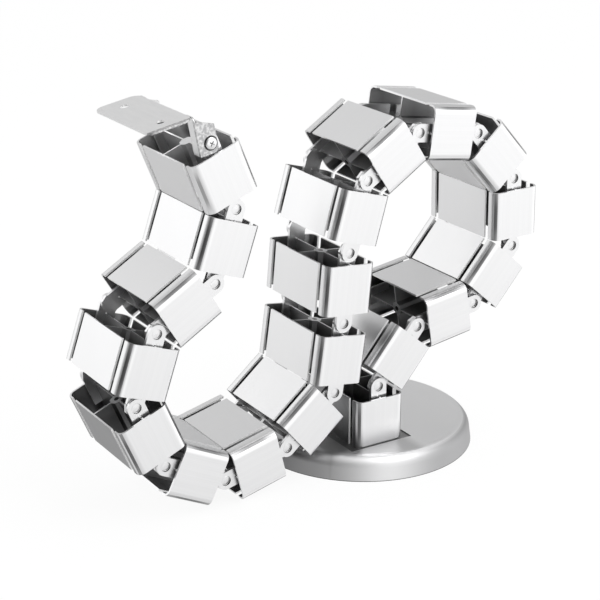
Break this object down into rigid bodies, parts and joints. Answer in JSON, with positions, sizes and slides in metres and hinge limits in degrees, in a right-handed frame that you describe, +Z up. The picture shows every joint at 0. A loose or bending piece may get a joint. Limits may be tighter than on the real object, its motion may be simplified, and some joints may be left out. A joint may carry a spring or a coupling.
{
  "type": "cable spine",
  "caption": "Free-standing cable spine: hinged aluminium links with cable chambers and side slits, curled from a round weighted base up to a bent mounting plate.",
  "frame": {"origin": "middle of the base's flat underside, on the floor", "axes": "+Z up; X lies in the plane that the chain bends in, with the mounting plate on the -X side; Y runs along the hinge axes"},
  "size_m": [0.438, 0.211, 0.3515],
  "materials": {
    "link_aluminium": "satin anodised, finely brushed along the link",
    "plate_steel": "bright zinc plated, smooth",
    "rivet_steel": "turned, satin",
    "base_silver": "silver powder coat, satin",
    "mount_aluminium": "silver coated sheet, satin",
    "fastener_steel": "bright plated"
  },
  "bodies": {
    "base": {"base_disc": "base_silver", "base_screw": "fastener_steel", "link_01": "link_aluminium", "hinge_plates_01": "plate_steel"},
    "link_body_02": {"link_02": "link_aluminium", "hinge_plates_02": "plate_steel", "rivets_01": "rivet_steel"},
    "link_body_03": {"link_03": "link_aluminium", "hinge_plates_03": "plate_steel", "rivets_02": "rivet_steel"},
    "link_body_04": {"link_04": "link_aluminium", "hinge_plates_04": "plate_steel", "rivets_03": "rivet_steel"},
    "link_body_05": {"link_05": "link_aluminium", "hinge_plates_05": "plate_steel", "rivets_04": "rivet_steel"},
    "link_body_06": {"link_06": "link_aluminium", "hinge_plates_06": "plate_steel", "rivets_05": "rivet_steel"},
    "link_body_07": {"link_07": "link_aluminium", "hinge_plates_07": "plate_steel", "rivets_06": "rivet_steel"},
    "link_body_08": {"link_08": "link_aluminium", "hinge_plates_08": "plate_steel", "rivets_07": "rivet_steel"},
    "link_body_09": {"link_09": "link_aluminium", "hinge_plates_09": "plate_steel", "rivets_08": "rivet_steel"},
    "link_body_10": {"link_10": "link_aluminium", "hinge_plates_10": "plate_steel", "rivets_09": "rivet_steel"},
    "link_body_11": {"link_11": "link_aluminium", "hinge_plates_11": "plate_steel", "rivets_10": "rivet_steel"},
    "link_body_12": {"link_12": "link_aluminium", "hinge_plates_12": "plate_steel", "rivets_11": "rivet_steel"},
    "link_body_13": {"link_13": "link_aluminium", "hinge_plates_13": "plate_steel", "rivets_12": "rivet_steel"},
    "link_body_14": {"link_14": "link_aluminium", "hinge_plates_14": "plate_steel", "rivets_13": "rivet_steel"},
    "link_body_15": {"link_15": "link_aluminium", "hinge_plates_15": "plate_steel", "rivets_14": "rivet_steel"},
    "link_body_16": {"link_16": "link_aluminium", "hinge_plates_16": "plate_steel", "rivets_15": "rivet_steel"},
    "link_body_17": {"link_17": "link_aluminium", "hinge_plates_17": "plate_steel", "rivets_16": "rivet_steel"},
    "link_body_18": {"link_18": "link_aluminium", "hinge_plates_18": "plate_steel", "rivets_17": "rivet_steel"},
    "link_body_19": {"link_19": "link_aluminium", "hinge_plates_19": "plate_steel", "rivets_18": "rivet_steel"},
    "plate_body": {"mount_plate": "mount_aluminium", "plate_screws": "fastener_steel"}
  },
  "joints": [
    {"name": "hinge_01", "type": "hinge", "parent": "base", "child": "link_body_02", "pos_m": [-0.0235, -0.017, 0.0767], "axis": [0, -1, 0], "range_deg": [-2, 1]},
    {"name": "hinge_02", "type": "hinge", "parent": "link_body_02", "child": "link_body_03", "pos_m": [0.01828, -0.017, 0.12649], "axis": [0, 1, 0], "range_deg": [0, 1]},
    {"name": "hinge_03", "type": "hinge", "parent": "link_body_03", "child": "link_body_04", "pos_m": [0.08248, -0.017, 0.13666], "axis": [0, -1, 0], "range_deg": [-82, 0]},
    {"name": "hinge_04", "type": "hinge", "parent": "link_body_04", "child": "link_body_05", "pos_m": [0.12512, -0.017, 0.18572], "axis": [0, 1, 0], "range_deg": [0, 84]},
    {"name": "hinge_05", "type": "hinge", "parent": "link_body_05", "child": "link_body_06", "pos_m": [0.12399, -0.017, 0.25071], "axis": [0, -1, 0], "range_deg": [-83, 0]},
    {"name": "hinge_06", "type": "hinge", "parent": "link_body_06", "child": "link_body_07", "pos_m": [0.0805, -0.017, 0.29901], "axis": [0, 1, 0], "range_deg": [0, 82]},
    {"name": "hinge_07", "type": "hinge", "parent": "link_body_07", "child": "link_body_08", "pos_m": [0.01613, -0.017, 0.30806], "axis": [0, -1, 0], "range_deg": [-83, 0]},
    {"name": "hinge_08", "type": "hinge", "parent": "link_body_08", "child": "link_body_09", "pos_m": [-0.03838, -0.017, 0.27266], "axis": [0, 1, 0], "range_deg": [-1, 83]},
    {"name": "hinge_09", "type": "hinge", "parent": "link_body_09", "child": "link_body_10", "pos_m": [-0.0563, -0.017, 0.21017], "axis": [0, -1, 0], "range_deg": [-53, 3]},
    {"name": "hinge_10", "type": "hinge", "parent": "link_body_10", "child": "link_body_11", "pos_m": [-0.06197, -0.017, 0.14542], "axis": [0, 1, 0], "range_deg": [-3, 39]},
    {"name": "hinge_11", "type": "hinge", "parent": "link_body_11", "child": "link_body_12", "pos_m": [-0.07101, -0.017, 0.08105], "axis": [0, -1, 0], "range_deg": [0, 4]},
    {"name": "hinge_12", "type": "hinge", "parent": "link_body_12", "child": "link_body_13", "pos_m": [-0.1208, -0.017, 0.03927], "axis": [0, 1, 0], "range_deg": [-39, 16]},
    {"name": "hinge_13", "type": "hinge", "parent": "link_body_13", "child": "link_body_14", "pos_m": [-0.18387, -0.017, 0.02355], "axis": [0, -1, 0], "range_deg": [-2, 82]},
    {"name": "hinge_14", "type": "hinge", "parent": "link_body_14", "child": "link_body_15", "pos_m": [-0.2423, -0.017, 0.05204], "axis": [0, 1, 0], "range_deg": [-83, 1]},
    {"name": "hinge_15", "type": "hinge", "parent": "link_body_15", "child": "link_body_16", "pos_m": [-0.26769, -0.017, 0.11188], "axis": [0, -1, 0], "range_deg": [0, 84]},
    {"name": "hinge_16", "type": "hinge", "parent": "link_body_16", "child": "link_body_17", "pos_m": [-0.24653, -0.017, 0.17333], "axis": [0, 1, 0], "range_deg": [-82, 2]},
    {"name": "hinge_17", "type": "hinge", "parent": "link_body_17", "child": "link_body_18", "pos_m": [-0.19082, -0.017, 0.20681], "axis": [0, -1, 0], "range_deg": [-60, 2]},
    {"name": "hinge_18", "type": "hinge", "parent": "link_body_18", "child": "link_body_19", "pos_m": [-0.16965, -0.017, 0.26827], "axis": [0, 1, 0], "range_deg": [-1, 83]},
    {"name": "plate_hinge", "type": "hinge", "parent": "link_body_19", "child": "plate_body", "pos_m": [-0.194, -0.017, 0.32854], "axis": [0, -1, 0], "range_deg": [-19, 14]}
  ]
}
